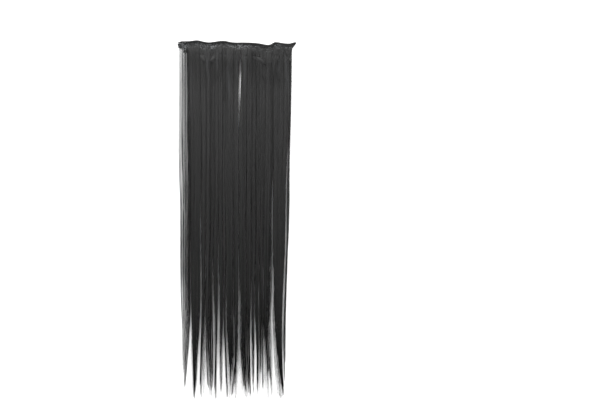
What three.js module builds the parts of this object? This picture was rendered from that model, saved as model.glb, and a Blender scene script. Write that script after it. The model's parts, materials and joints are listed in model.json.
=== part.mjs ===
// Synthetic hair extension: one wide clip-in weft lying flat on a surface.
// X runs along the sewn head, Y from the tips up to the head and Z up from the surface. Lengths are in
// millimetres. Tables give places across as shares of the weft's width and places down as shares of its
// length, both counted from the head's left corner.
import * as THREE from 'three';
import { mergeVertices } from 'three/addons/utils/BufferGeometryUtils.js';

const { clamp, lerp, smoothstep } = THREE.MathUtils;

// Whole weft
const WEFT_WIDTH = 198;
const WEFT_LENGTH = 600;
const PIECE_GAP = 0.3;
const HEAD_GAP = 0.6;

// Rolled top edge
const ROLL_RADIUS = 1.5;
const ROLL_COLUMNS = 66;
const ROLL_SIDES = 7;
const ROLL_END_RADIUS = 0.5;
const ROLL_END_LENGTH = 5;
const SCALLOP_DEPTH = 7.2;

// Stitched band under the roll
const BAND_DEPTH = 8;
const BAND_THICKNESS = 2.2;
const BAND_LOW_LEFT = 0.008;
const BAND_LOW_RIGHT = 0.962;
const GATHERS = 42;
const GATHER_HEIGHT = 0.45;

// Snap comb clips under the head
const CLIP_COUNT = 4;
const CLIP_PITCH = 0.2475 * WEFT_WIDTH;
const CLIP_WIDTH = 32;
const CLIP_DEPTH = 16;
const CLIP_THICKNESS = 3.6;
const CLIP_TOP = 4;
const CLIP_ARCH = 3.2;
const CLIP_SPINE = 5;
const CLIP_TEETH = 7;
const CLIP_TOOTH_SHARE = 0.55;
const CLIP_ARCH_STEPS = 14;

// How the hair lies: off the clips, down to the surface and out along it
const HEAD_SAG = 1.3;
const SAG_CLEARANCE = 1.5;
const SLOPE_LENGTH = 46;
const BUMP_HEIGHT = 2;
const BUMP_DOWN = 24;
const BUMP_ARCH = 5;
const BUMP_SPREAD = 5;
const FOLD_HEIGHT = 2;
const FOLD_SPREAD = 4.5;
const HAIR_THICKNESS = 5.4;
const VALLEY_AT_HEAD = 0.86;
const VALLEY_PARTED = 0.52;
const VALLEY_START = 0.02;
const SIDE_VALLEY_END = 0.1;
const UNDERSIDE_RISE = 0.2;
const FOLD_DENT = 0.16;
const SCALLOP_FADE = 90;
const WANDER = 0.8;
const WANDER_LENGTH = 230;
const WANDER_TURN = 0.22;

// Rows of points along the hair
const LOCK_ROWS = 27;
const ROW_CROWDING = 1.3;
const THIRD_ROW = 0.3;
const LOW_ROW = 0.8;
const LAST_SHARED_ROW = 0.87;
const TIP_RINGS = 3;
const TIP_ROUNDING = 0.9;
const LOCK_STEPS = 4;
const FOLDED_LOCK_STEPS = 6;
const WIDEST_GAP = 0.07 * WEFT_WIDTH;
const NARROWEST_GAP = 0.03 * WIDEST_GAP;
const GAP_GROWTH = 1.7;

// The long parting in the upper half, a slit that closes again
const PARTING = 10;
const PARTING_START = 0.035;
const PARTING_END = 0.25;
const PARTING_WIDTH = 0.24 * WIDEST_GAP;

// Top edge: how far it drops below its highest point, as a share of SCALLOP_DEPTH
const TOP_EDGE = [
  { at: 0, drop: 0.33 },
  { at: 0.035, drop: 0.22 },
  { at: 0.09, drop: 0.2 },
  { at: 0.169, drop: 0 },
  { at: 0.215, drop: 0.28 },
  { at: 0.263, drop: 0.46 },
  { at: 0.31, drop: 0.34 },
  { at: 0.364, drop: 0.13 },
  { at: 0.407, drop: 0.17 },
  { at: 0.46, drop: 0.46 },
  { at: 0.56, drop: 0.5 },
  { at: 0.63, drop: 0.56 },
  { at: 0.695, drop: 0.75 },
  { at: 0.746, drop: 1 },
  { at: 0.784, drop: 0.97 },
  { at: 0.818, drop: 0.42 },
  { at: 0.9, drop: 0.69 },
  { at: 0.95, drop: 0.72 },
  { at: 1, drop: 0.3 },
];

// Thickness of the hair down its length, as a share of HAIR_THICKNESS
const THICKNESS = [
  { at: 0, thick: 0.46 },
  { at: 0.03, thick: 0.55 },
  { at: 0.08, thick: 0.82 },
  { at: 0.2, thick: 1 },
  { at: 0.5, thick: 1 },
  { at: 0.75, thick: 0.84 },
  { at: 0.9, thick: 0.68 },
  { at: 1, thick: 0.42 },
];

// Lines between locks, from left to right, with the weft's two sides as the first and the last. Each has its
// place across at the head, a third down, four fifths down and at the last shared row, the place down where
// it opens and its gap at the last shared row, as a share of WIDEST_GAP.
const LINES = [
  { head: 0.014, third: 0.01, low: 0.029, end: 0.031, opens: 0, gap: 0 },
  { head: 0.102, third: 0.11, low: 0.105, end: 0.102, opens: 0.73, gap: 0.62 },
  { head: 0.186, third: 0.199, low: 0.193, end: 0.186, opens: 0.61, gap: 0.27 },
  { head: 0.242, third: 0.246, low: 0.229, end: 0.226, opens: 0.57, gap: 0.53 },
  { head: 0.28, third: 0.28, low: 0.262, end: 0.264, opens: 0.78, gap: 0.12 },
  { head: 0.318, third: 0.309, low: 0.298, end: 0.296, opens: 0.68, gap: 0.24 },
  { head: 0.347, third: 0.347, low: 0.344, end: 0.34, opens: 0.65, gap: 0.3 },
  { head: 0.377, third: 0.377, low: 0.386, end: 0.39, opens: 0.81, gap: 0.25 },
  { head: 0.415, third: 0.403, low: 0.408, end: 0.422, opens: 0.58, gap: 0.27 },
  { head: 0.475, third: 0.47, low: 0.471, end: 0.474, opens: 0.83, gap: 0.1 },
  { head: 0.53, third: 0.514, low: 0.521, end: 0.518, opens: 0.62, gap: 0.5 },
  { head: 0.589, third: 0.581, low: 0.578, end: 0.581, opens: 0.78, gap: 0.22 },
  { head: 0.631, third: 0.627, low: 0.621, end: 0.626, opens: 0.79, gap: 0.27 },
  { head: 0.665, third: 0.665, low: 0.65, end: 0.657, opens: 0.83, gap: 0.1 },
  { head: 0.712, third: 0.703, low: 0.682, end: 0.686, opens: 0.8, gap: 0.18 },
  { head: 0.746, third: 0.737, low: 0.72, end: 0.734, opens: 0.79, gap: 0.45 },
  { head: 0.805, third: 0.805, low: 0.79, end: 0.804, opens: 0.42, gap: 1 },
  { head: 0.936, third: 0.932, low: 0.889, end: 0.887, opens: 0.3, gap: 0.2 },
  { head: 0.962, third: 0.949, low: 0.914, end: 0.909, opens: 0, gap: 0 },
];

// Locks between those lines: where the tip lies, how thick the lock is and how many low folds run down it
const LOCKS = [
  { tip: 0.049, reach: 0.976, thick: 0.62, folds: 1 },
  { tip: 0.14, reach: 0.999, thick: 0.95, folds: 2 },
  { tip: 0.19, reach: 0.987, thick: 0.7, folds: 1 },
  { tip: 0.274, reach: 0.976, thick: 0.9, folds: 1 },
  { tip: 0.288, reach: 0.968, thick: 0.8, folds: 1 },
  { tip: 0.31, reach: 1, thick: 1, folds: 1 },
  { tip: 0.359, reach: 0.974, thick: 0.95, folds: 1 },
  { tip: 0.412, reach: 0.998, thick: 0.8, folds: 1 },
  { tip: 0.439, reach: 0.963, thick: 1, folds: 1 },
  { tip: 0.466, reach: 0.99, thick: 0.92, folds: 1 },
  { tip: 0.58, reach: 0.979, thick: 1.04, folds: 1 },
  { tip: 0.608, reach: 0.987, thick: 0.86, folds: 1 },
  { tip: 0.64, reach: 0.96, thick: 0.66, folds: 1 },
  { tip: 0.67, reach: 0.976, thick: 1.04, folds: 1 },
  { tip: 0.703, reach: 0.971, thick: 0.96, folds: 1 },
  { tip: 0.78, reach: 0.957, thick: 0.92, folds: 2 },
  { tip: 0.895, reach: 0.992, thick: 1, folds: 2 },
  { tip: 0.908, reach: 0.95, thick: 0.55, folds: 1 },
];

// Soft folds that run down from the sewn head: where each starts and ends across and down, its height as a
// share of FOLD_HEIGHT and its half width as a share of FOLD_SPREAD.
const HEAD_FOLDS = [
  { from: 0.07, to: 0.09, start: 0.02, end: 0.1, rise: 0.6, spread: 1 },
  { from: 0.16, to: 0.3, start: 0.045, end: 0.032, rise: 0.7, spread: 0.7 },
  { from: 0.24, to: 0.265, start: 0.02, end: 0.075, rise: 0.8, spread: 0.8 },
  { from: 0.335, to: 0.335, start: 0.02, end: 0.06, rise: 0.7, spread: 0.8 },
  { from: 0.44, to: 0.41, start: 0.035, end: 0.14, rise: 1, spread: 1.3 },
  { from: 0.55, to: 0.56, start: 0.025, end: 0.12, rise: 0.8, spread: 0.8 },
  { from: 0.79, to: 0.79, start: 0.02, end: 0.065, rise: 0.8, spread: 0.9 },
  { from: 0.93, to: 0.81, start: 0.02, end: 0.075, rise: 1, spread: 0.9 },
  { from: 0.87, to: 0.77, start: 0.02, end: 0.1, rise: 0.7, spread: 0.8 },
];

// Section of the stitched band: shares of its depth and of its thickness, going round it
const BAND_SECTION = [
  { down: 0, up: 0.2 },
  { down: 0, up: 0.8 },
  { down: 0.14, up: 1 },
  { down: 0.5, up: 0.86 },
  { down: 0.86, up: 1 },
  { down: 1, up: 0.8 },
  { down: 1, up: 0.2 },
  { down: 0.5, up: 0 },
];

// Reads one column of a table at any place, on a smooth curve through its rows that is level at both ends.
function read(table, column, at) {
  let row = 1;
  while (row < table.length - 1 && table[row].at < at) {
    row += 1;
  }
  const slopeAt = (index) => {
    if (index === 0 || index === table.length - 1) {
      return 0;
    }
    const [before, after] = [table[index - 1], table[index + 1]];
    return (after[column] - before[column]) / (after.at - before.at);
  };
  const [before, after] = [table[row - 1], table[row]];
  const span = after.at - before.at;
  const t = clamp((at - before.at) / span, 0, 1);
  const blend = t * t * (3 - 2 * t);
  const leaving = t * (1 - t) ** 2 * span * slopeAt(row - 1);
  const arriving = t * t * (1 - t) * span * slopeAt(row);
  return lerp(before[column], after[column], blend) + leaving - arriving;
}

// Place across, from the weft's middle, of a share of its width.
function across(share) {
  return (share - 0.5) * WEFT_WIDTH;
}

// How far the top edge drops below its highest point, at a place across.
function edgeDrop(x) {
  return SCALLOP_DEPTH * read(TOP_EDGE, 'drop', x / WEFT_WIDTH + 0.5);
}

const clipCentres = [];
for (let clip = 0; clip < CLIP_COUNT; clip += 1) {
  clipCentres.push((clip - (CLIP_COUNT - 1) / 2) * CLIP_PITCH);
}

// The nearest clip's middle, and how fully the head rests on that clip: 1 over it, 0 halfway to the next.
function clipUnder(x) {
  let nearest = clipCentres[0];
  for (const centre of clipCentres) {
    if (Math.abs(x - centre) < Math.abs(x - nearest)) {
      nearest = centre;
    }
  }
  const aside = Math.abs(x - nearest);
  const lets = smoothstep(aside, CLIP_WIDTH / 2 + SAG_CLEARANCE, CLIP_PITCH / 2 + SAG_CLEARANCE);
  return { centre: nearest, rests: 1 - lets };
}

// Height of the head's underside, which sags a little between clips.
function headHeight(x) {
  return CLIP_THICKNESS + PIECE_GAP - HEAD_SAG * (1 - clipUnder(x).rests);
}

// Collects points and faces of one closed body.
class Body {
  constructor() {
    this.points = [];
    this.faces = [];
  }

  point(x, y, z) {
    this.points.push(x, y, z);
    return this.points.length / 3 - 1;
  }

  face(a, b, c) {
    this.faces.push(a, b, c);
  }

  // A four-cornered face, corners anticlockwise from outside.
  quad(a, b, c, d) {
    this.face(a, b, c);
    this.face(a, c, d);
  }

  geometry() {
    const made = new THREE.BufferGeometry();
    made.setAttribute('position', new THREE.Float32BufferAttribute(this.points, 3));
    made.setIndex(this.faces);
    return made;
  }
}

// A solid through closed rings of the same number of points, each end filled by a fan from its middle.
function loft(rings) {
  const body = new Body();
  const sides = rings[0].length;
  const rows = rings.map((ring) => ring.map((p) => body.point(p.x, p.y, p.z)));
  for (let row = 0; row < rings.length - 1; row += 1) {
    for (let side = 0; side < sides; side += 1) {
      const next = (side + 1) % sides;
      body.quad(rows[row][side], rows[row][next], rows[row + 1][next], rows[row + 1][side]);
    }
  }
  const ends = [0, rings.length - 1].map((row) => {
    const middle = new THREE.Vector3();
    rings[row].forEach((p) => middle.addScaledVector(p, 1 / sides));
    return body.point(middle.x, middle.y, middle.z);
  });
  for (let side = 0; side < sides; side += 1) {
    const next = (side + 1) % sides;
    body.face(ends[0], rows[0][next], rows[0][side]);
    body.face(ends[1], rows[rings.length - 1][side], rows[rings.length - 1][next]);
  }
  return body.geometry();
}

// The rolled top edge: a thin roll that follows the scallops and narrows at both corners.
function edgeRoll() {
  const rings = [];
  for (let column = 0; column <= ROLL_COLUMNS; column += 1) {
    const x = across(column / ROLL_COLUMNS);
    const fromEnd = WEFT_WIDTH / 2 - Math.abs(x);
    const radius = lerp(ROLL_END_RADIUS, ROLL_RADIUS, smoothstep(fromEnd, 0, ROLL_END_LENGTH));
    const middleY = -edgeDrop(x) - ROLL_RADIUS;
    const middleZ = headHeight(x) + BAND_THICKNESS / 2;
    const ring = [];
    for (let side = 0; side < ROLL_SIDES; side += 1) {
      const turn = (2 * Math.PI * side) / ROLL_SIDES;
      ring.push(new THREE.Vector3(x, middleY + radius * Math.cos(turn), middleZ + radius * Math.sin(turn)));
    }
    rings.push(ring);
  }
  return loft(rings);
}

// The stitched band: a flat strip gathered into small ribs, its sides drawn in towards the hair.
function weftTrack() {
  const rings = [];
  const columns = 2 * GATHERS;
  const top = 2 * ROLL_RADIUS + PIECE_GAP;
  for (let column = 0; column <= columns; column += 1) {
    const share = column / columns;
    const ring = BAND_SECTION.map(({ down, up }) => {
      const x = across(lerp(share, lerp(BAND_LOW_LEFT, BAND_LOW_RIGHT, share), down));
      const rib = up > 0.5 && column % 2 === 1 ? GATHER_HEIGHT : 0;
      const y = -edgeDrop(x) - top - down * BAND_DEPTH;
      return new THREE.Vector3(x, y, headHeight(x) + up * BAND_THICKNESS - rib);
    });
    rings.push(ring);
  }
  return loft(rings);
}

// Place across of a line between locks at a distance down, with a slow wander from side to side.
function lineAt(index, down) {
  const line = LINES[index];
  const stops = [
    { at: 0, place: line.head },
    { at: THIRD_ROW, place: line.third },
    { at: LOW_ROW, place: line.low },
    { at: LAST_SHARED_ROW, place: line.end },
  ];
  const turn = 2 * Math.PI * (down / WANDER_LENGTH + index * WANDER_TURN);
  const grown = smoothstep(down, SCALLOP_FADE / 2, WANDER_LENGTH);
  return across(read(stops, 'place', down / WEFT_LENGTH)) + WANDER * grown * Math.sin(turn);
}

// How wide a line has opened at a distance down; 0 where the locks still join.
function openingAt(index, down) {
  const share = down / WEFT_LENGTH;
  if (index === PARTING && share > PARTING_START && share < PARTING_END) {
    const along = (share - PARTING_START) / (PARTING_END - PARTING_START);
    return PARTING_WIDTH * Math.sin(Math.PI * Math.sqrt(along));
  }
  const { opens, gap } = LINES[index];
  if (gap === 0 || share <= opens) {
    return 0;
  }
  const width = gap * WIDEST_GAP * ((share - opens) / (LAST_SHARED_ROW - opens)) ** GAP_GROWTH;
  return width < NARROWEST_GAP ? 0 : width;
}

// Height of the hair's underside: on the clips at the head, then down a slope to the surface.
function underside(x, down) {
  const start = CLIP_TOP + CLIP_DEPTH + SAG_CLEARANCE;
  return headHeight(x) * (1 - smoothstep(down, start, start + SLOPE_LENGTH));
}

// The low arched bump that each clip raises in the hair over it.
function clipBump(x, down) {
  const { centre, rests } = clipUnder(x);
  const arch = BUMP_ARCH * ((2 * (x - centre)) / CLIP_WIDTH) ** 2;
  return BUMP_HEIGHT * rests * Math.exp(-(((down - BUMP_DOWN - arch) / BUMP_SPREAD) ** 2));
}

// The low relief of the folds under the head at one place: the height of the nearest fold's rounded ridge.
function foldRelief(x, down) {
  let relief = 0;
  for (const fold of HEAD_FOLDS) {
    const foot = new THREE.Vector2(across(fold.from), fold.start * WEFT_LENGTH);
    const run = new THREE.Vector2(across(fold.to), fold.end * WEFT_LENGTH).sub(foot);
    const here = new THREE.Vector2(x, down).sub(foot);
    const share = clamp(here.dot(run) / run.lengthSq(), 0, 1);
    const away = here.addScaledVector(run, -share).length() / (fold.spread * FOLD_SPREAD);
    relief = Math.max(relief, fold.rise * FOLD_HEIGHT * (1 - share * share / 2) * Math.exp(-away * away));
  }
  return relief;
}

// The hair: locks side by side that share the points of a line where it is closed, and have points and a
// side of their own where it is open. Each lock ends in its own tip.
function hairCurtain() {
  const body = new Body();
  const start = 2 * ROLL_RADIUS + BAND_DEPTH + PIECE_GAP + HEAD_GAP;
  const downs = [];
  for (let row = 0; row < LOCK_ROWS; row += 1) {
    const share = (row / (LOCK_ROWS - 1)) ** ROW_CROWDING;
    downs.push(lerp(start, LAST_SHARED_ROW * WEFT_LENGTH, share));
  }
  const yAt = (x, down) => -down - edgeDrop(x) * (1 - smoothstep(down, start, SCALLOP_FADE));
  const thickAt = (down) => HAIR_THICKNESS * read(THICKNESS, 'thick', down / WEFT_LENGTH);
  const relief = (x, down) => Math.max(clipBump(x, down), foldRelief(x, down));

  // How low the hair lies along a line, compared with the crests beside it: lowest where it is about to open.
  const valleyAt = (index, down) => {
    const opens = LINES[index].gap === 0 ? SIDE_VALLEY_END : LINES[index].opens;
    return lerp(VALLEY_AT_HEAD, VALLEY_PARTED, smoothstep(down / WEFT_LENGTH, VALLEY_START, opens));
  };

  // Top and bottom points of one side of a lock in each shared row; two locks that join get the same points.
  const edgePoints = (index, down, x, thick) => {
    const floor = underside(x, down);
    const y = yAt(x, down);
    return {
      x,
      top: body.point(x, y, floor + thick * valleyAt(index, down) + relief(x, down)),
      bottom: body.point(x, y, floor + thick * UNDERSIDE_RISE),
    };
  };
  const edges = LINES.map((line, index) => downs.map((down) => {
    const middle = lineAt(index, down);
    const opening = openingAt(index, down);
    const before = LOCKS[index - 1];
    const after = LOCKS[index];
    const thickBefore = thickAt(down) * (before ? before.thick : after.thick);
    const thickAfter = thickAt(down) * (after ? after.thick : before.thick);
    if (opening === 0) {
      const shared = edgePoints(index, down, middle, (thickBefore + thickAfter) / 2);
      return { before: shared, after: shared };
    }
    return {
      before: edgePoints(index, down, middle - opening / 2, thickBefore),
      after: edgePoints(index, down, middle + opening / 2, thickAfter),
    };
  }));

  // One lock's rings: the top points from left to right, and a bottom point below every second one.
  const crest = (share, folds, valley) => {
    const arch = Math.sin(Math.PI * share);
    const between = folds > 1 ? (1 + Math.cos(2 * Math.PI * folds * share)) / 2 : 0;
    return valley + (1 - valley) * Math.sqrt(arch) - FOLD_DENT * arch * between;
  };
  LOCKS.forEach((lock, index) => {
    const steps = lock.folds > 1 ? FOLDED_LOCK_STEPS : LOCK_STEPS;
    const rings = downs.map((down, row) => {
      const left = edges[index][row].after;
      const right = edges[index + 1][row].before;
      const top = [left.top];
      const bottom = [left.bottom];
      for (let step = 1; step < steps; step += 1) {
        const share = step / steps;
        const x = lerp(left.x, right.x, share);
        const valley = lerp(valleyAt(index, down), valleyAt(index + 1, down), share);
        const height = thickAt(down) * lock.thick * crest(share, lock.folds, valley);
        const floor = underside(x, down);
        const y = yAt(x, down);
        top.push(body.point(x, y, floor + height + relief(x, down)));
        if (step % 2 === 0) {
          bottom.push(body.point(x, y, floor));
        }
      }
      top.push(right.top);
      bottom.push(right.bottom);
      return { top, bottom };
    });

    // Tip: the last shared ring drawn in towards the lock's own end point.
    const tipX = across(lock.tip);
    const tipY = -lock.reach * WEFT_LENGTH;
    const tipZ = HAIR_THICKNESS * UNDERSIDE_RISE;
    const last = rings[rings.length - 1];
    const drawn = (point, share) => {
      const narrow = (1 - share) ** TIP_ROUNDING;
      const x = body.points[3 * point];
      const y = body.points[3 * point + 1];
      const z = body.points[3 * point + 2];
      return body.point(lerp(tipX, x, narrow), lerp(y, tipY, share), lerp(tipZ, z, narrow));
    };
    for (let ring = 1; ring <= TIP_RINGS; ring += 1) {
      const share = ring / (TIP_RINGS + 1);
      rings.push({
        top: last.top.map((point) => drawn(point, share)),
        bottom: last.bottom.map((point) => drawn(point, share)),
      });
    }

    for (let row = 0; row < rings.length - 1; row += 1) {
      const above = rings[row];
      const below = rings[row + 1];
      for (let step = 0; step < steps; step += 1) {
        body.quad(above.top[step], below.top[step], below.top[step + 1], above.top[step + 1]);
      }
      for (let step = 0; step < steps / 2; step += 1) {
        body.quad(above.bottom[step], above.bottom[step + 1], below.bottom[step + 1], below.bottom[step]);
      }
      const isOpen = (line) => {
        const outer = line === 0 || line === LINES.length - 1;
        const joined = (at) => at < downs.length && openingAt(line, downs[at]) === 0;
        return outer || !(joined(row) && joined(row + 1));
      };
      if (isOpen(index)) {
        body.quad(above.top[0], above.bottom[0], below.bottom[0], below.top[0]);
      }
      if (isOpen(index + 1)) {
        const [aboveTop, belowTop] = [above.top[steps], below.top[steps]];
        const [aboveBottom, belowBottom] = [above.bottom[steps / 2], below.bottom[steps / 2]];
        body.quad(aboveTop, belowTop, belowBottom, aboveBottom);
      }
    }

    // The head end, then the tip
    const head = rings[0];
    for (let step = 0; step < steps / 2; step += 1) {
      body.face(head.bottom[step], head.top[2 * step], head.top[2 * step + 1]);
      body.face(head.bottom[step], head.top[2 * step + 1], head.bottom[step + 1]);
      body.face(head.bottom[step + 1], head.top[2 * step + 1], head.top[2 * step + 2]);
    }
    const end = rings[rings.length - 1];
    const round = [...end.top, ...end.bottom.toReversed()];
    const apex = body.point(tipX, tipY, tipZ);
    round.forEach((point, place) => {
      body.face(point, apex, round[(place + 1) % round.length]);
    });
  });
  return body.geometry();
}

// One snap comb clip, closed: an arched spine with teeth that point towards the tips.
function clip(centre) {
  const top = -edgeDrop(centre) - CLIP_TOP;
  const half = CLIP_WIDTH / 2;
  const shape = new THREE.Shape();
  const archAt = (x) => top - CLIP_ARCH * (x / half) ** 2;
  shape.moveTo(-half, archAt(half));
  const low = top - CLIP_DEPTH;
  const pitch = (2 * half) / CLIP_TEETH;
  for (let tooth = 0; tooth < CLIP_TEETH; tooth += 1) {
    const left = -half + tooth * pitch;
    const right = tooth === CLIP_TEETH - 1 ? half : left + pitch * CLIP_TOOTH_SHARE;
    shape.lineTo(left, low);
    shape.lineTo(right, low);
    if (tooth < CLIP_TEETH - 1) {
      shape.lineTo(right, archAt(right) - CLIP_SPINE);
      shape.lineTo(left + pitch, archAt(left + pitch) - CLIP_SPINE);
    }
  }
  for (let step = 0; step < CLIP_ARCH_STEPS; step += 1) {
    const x = lerp(half, -half, step / CLIP_ARCH_STEPS);
    shape.lineTo(x, archAt(x));
  }
  const made = new THREE.ExtrudeGeometry(shape, { depth: CLIP_THICKNESS, bevelEnabled: false });
  made.translate(centre, 0, 0);
  made.deleteAttribute('normal');
  made.deleteAttribute('uv');
  return mergeVertices(made);
}

function mesh(name, geometry, color, roughness, metalness) {
  geometry.computeVertexNormals();
  const made = new THREE.Mesh(geometry, new THREE.MeshStandardMaterial({ color, roughness, metalness }));
  made.name = name;
  return made;
}

const weft = new THREE.Group();
weft.name = 'hair_extension';
weft.add(mesh('edge_roll', edgeRoll(), 0x1c1c1d, 0.6, 0));
weft.add(mesh('weft_track', weftTrack(), 0x343537, 0.7, 0));
weft.add(mesh('hair_curtain', hairCurtain(), 0x232324, 0.45, 0));
clipCentres.forEach((centre, index) => {
  weft.add(mesh(`clip_${index + 1}`, clip(centre), 0x1a1a1a, 0.4, 1));
});

// The finished group stands on its lowest point, with the middle of its box over the origin.
const box = new THREE.Box3().setFromObject(weft);
const middle = box.getCenter(new THREE.Vector3());
weft.children.forEach((child) => child.geometry.translate(-middle.x, -middle.y, -box.min.z));

export default weft;
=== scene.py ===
# %% [markdown]
# # A clip-in weft of straight black synthetic hair
#
# The real object is a strip of modacrylic fibre. The fibres are folded over and sewn into a narrow head, snap
# combs are stitched under that head, and the loose length lies on a table in locks that drift apart towards
# their tips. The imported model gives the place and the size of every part. This script puts the looks on it:
# bodies for the locks, thousands of fine strands, the rolled edge, the gathered band and its thread.

import json
import math

import bpy
import numpy as np
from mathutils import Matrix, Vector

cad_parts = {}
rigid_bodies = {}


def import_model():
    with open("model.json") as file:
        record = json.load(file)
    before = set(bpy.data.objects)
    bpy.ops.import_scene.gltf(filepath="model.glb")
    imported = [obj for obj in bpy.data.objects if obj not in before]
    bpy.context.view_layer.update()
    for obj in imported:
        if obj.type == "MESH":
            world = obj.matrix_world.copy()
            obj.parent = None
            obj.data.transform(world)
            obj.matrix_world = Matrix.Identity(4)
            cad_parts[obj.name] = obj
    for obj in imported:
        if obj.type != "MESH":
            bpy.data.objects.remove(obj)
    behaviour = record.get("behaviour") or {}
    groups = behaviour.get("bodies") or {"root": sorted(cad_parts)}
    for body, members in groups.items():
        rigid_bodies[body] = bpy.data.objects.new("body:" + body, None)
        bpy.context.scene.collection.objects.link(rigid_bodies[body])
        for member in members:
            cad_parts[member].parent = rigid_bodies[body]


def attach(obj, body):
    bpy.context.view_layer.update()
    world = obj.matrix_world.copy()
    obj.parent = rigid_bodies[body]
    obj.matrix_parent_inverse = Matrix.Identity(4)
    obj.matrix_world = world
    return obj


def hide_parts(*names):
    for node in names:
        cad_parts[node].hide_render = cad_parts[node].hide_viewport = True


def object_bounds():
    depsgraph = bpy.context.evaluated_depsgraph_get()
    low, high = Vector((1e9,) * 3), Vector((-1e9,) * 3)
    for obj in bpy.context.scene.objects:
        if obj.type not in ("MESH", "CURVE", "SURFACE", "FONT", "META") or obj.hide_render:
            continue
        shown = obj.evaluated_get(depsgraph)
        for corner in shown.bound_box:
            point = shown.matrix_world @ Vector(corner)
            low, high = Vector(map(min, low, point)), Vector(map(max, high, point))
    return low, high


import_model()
cad_low, cad_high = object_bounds()
print("CAD box in metres:", [round(float(v), 4) for v in (*cad_low, *cad_high)])

# %% [markdown]
# ## Named sizes
#
# A weft is described the way a maker would: how wide and long it is, how deep the rolled edge and the
# stitched band are, how thick the hair lies. Lengths are millimetres, as a maker measures them, and one
# function turns them into Blender's metres at the end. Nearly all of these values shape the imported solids
# too, so each new piece lands where its solid is. A place down the hair, or a range of such places, is
# measured from the top edge.

# %% Sizes of the weft in millimetres
WEFT_WIDTH = 198.0
WEFT_LENGTH = 600.0
ROLL_RADIUS = 1.5
SCALLOP_DEPTH = 7.2
BAND_DEPTH = 8.0
BAND_THICKNESS = 2.2
# where the band's lower edge starts and ends, as shares of the width
BAND_LOW = (0.008, 0.962)
HEAD_GAP = 0.9
HEAD_END = 2 * ROLL_RADIUS + BAND_DEPTH + HEAD_GAP
CLIP_COUNT = 4
CLIP_SPACING = 0.2475
CLIP_PITCH = CLIP_SPACING * WEFT_WIDTH
CLIP_CENTRES = (np.arange(CLIP_COUNT) - (CLIP_COUNT - 1) / 2) * CLIP_SPACING * WEFT_WIDTH
CLIP_WIDTH = 32.0
CLIP_HEIGHT = 3.9
CLIP_FOOT = 21.5
HEAD_SAG = 1.3
SAG_CLEARANCE = 1.5
SLOPE_LENGTH = 46.0
BUMP = {"height": 2.0, "down": 24.0, "arch": 5.0, "spread": 5.0}
FOLD_HEIGHT = 2.0
FOLD_SPREAD = 4.5
HAIR_THICKNESS = 5.4
TIP_HEIGHT = 0.2 * HAIR_THICKNESS
SCALLOP_FADE = 90.0
WANDER = 0.8
WANDER_LENGTH = 230.0
WANDER_TURN = 0.22
WIDEST_GAP = 0.07 * WEFT_WIDTH
# where the locks come loose from each other
LOOSENS = (150, 330)
print("weft", WEFT_WIDTH, "by", WEFT_LENGTH, "mm, clips at", CLIP_CENTRES.round(1))

# %% Shares and powers of the locks
# shares of the length
THIRD_ROW = 0.3
LOW_ROW = 0.8
LAST_SHARED_ROW = 0.87
VALLEY_START = 0.02
SIDE_VALLEY_END = 0.1
# how far before and behind its opening a line's slit widens
SLIT_BEFORE = 0.1
SLIT_BEHIND = 0.04
# shares of the crests' height
VALLEY_AT_HEAD = 0.86
VALLEY_PARTED = 0.52
VALLEY_OPEN = 0.5
FOLD_DENT = 0.16
# powers
TIP_ROUNDING = 0.9
GAP_GROWTH = 1.7
# the long parting: its line, the shares of the length where it runs, its width in millimetres, two powers
# for its outline, and the height of its valley, which is lowest between the shares `deep`
PARTING = {
    "line": 10, "start": 0.035, "end": 0.25, "width": 0.19 * WIDEST_GAP, "skew": 0.6, "blunt": 0.35,
    "valley": 0.3, "deep": (0.08, 0.15),
}
print("the parting is", round(PARTING["width"], 1), "mm wide, the widest gap", round(WIDEST_GAP, 1), "mm")

# %% [markdown]
# ## Tables
#
# Hair isn't regular, and a formula alone would look combed by a machine. So the uneven things are kept in
# short tables: how the top edge dips, how thick the hair lies down its length, where the locks part, and
# where each lock ends. Places across are shares of the width, places down are shares of the length.


# %% Tables of the edge, the thickness, the lines between locks and the locks
def columns(names, rows):
    """A table with named columns, each a numpy array."""
    return dict(zip(names.split(), np.array(rows, float).T))


TOP_EDGE = columns("at drop", [
    (0, 0.33), (0.035, 0.22), (0.09, 0.2), (0.169, 0), (0.215, 0.28), (0.263, 0.46), (0.31, 0.34),
    (0.364, 0.13), (0.407, 0.17), (0.46, 0.46), (0.56, 0.5), (0.63, 0.56), (0.695, 0.75), (0.746, 1),
    (0.784, 0.97), (0.818, 0.42), (0.9, 0.69), (0.95, 0.72), (1, 0.3),
])
THICKNESS = columns("at thick", [
    (0, 0.46), (0.03, 0.55), (0.08, 0.82), (0.2, 1), (0.5, 1), (0.75, 0.84), (0.9, 0.68), (1, 0.42),
])
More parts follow.
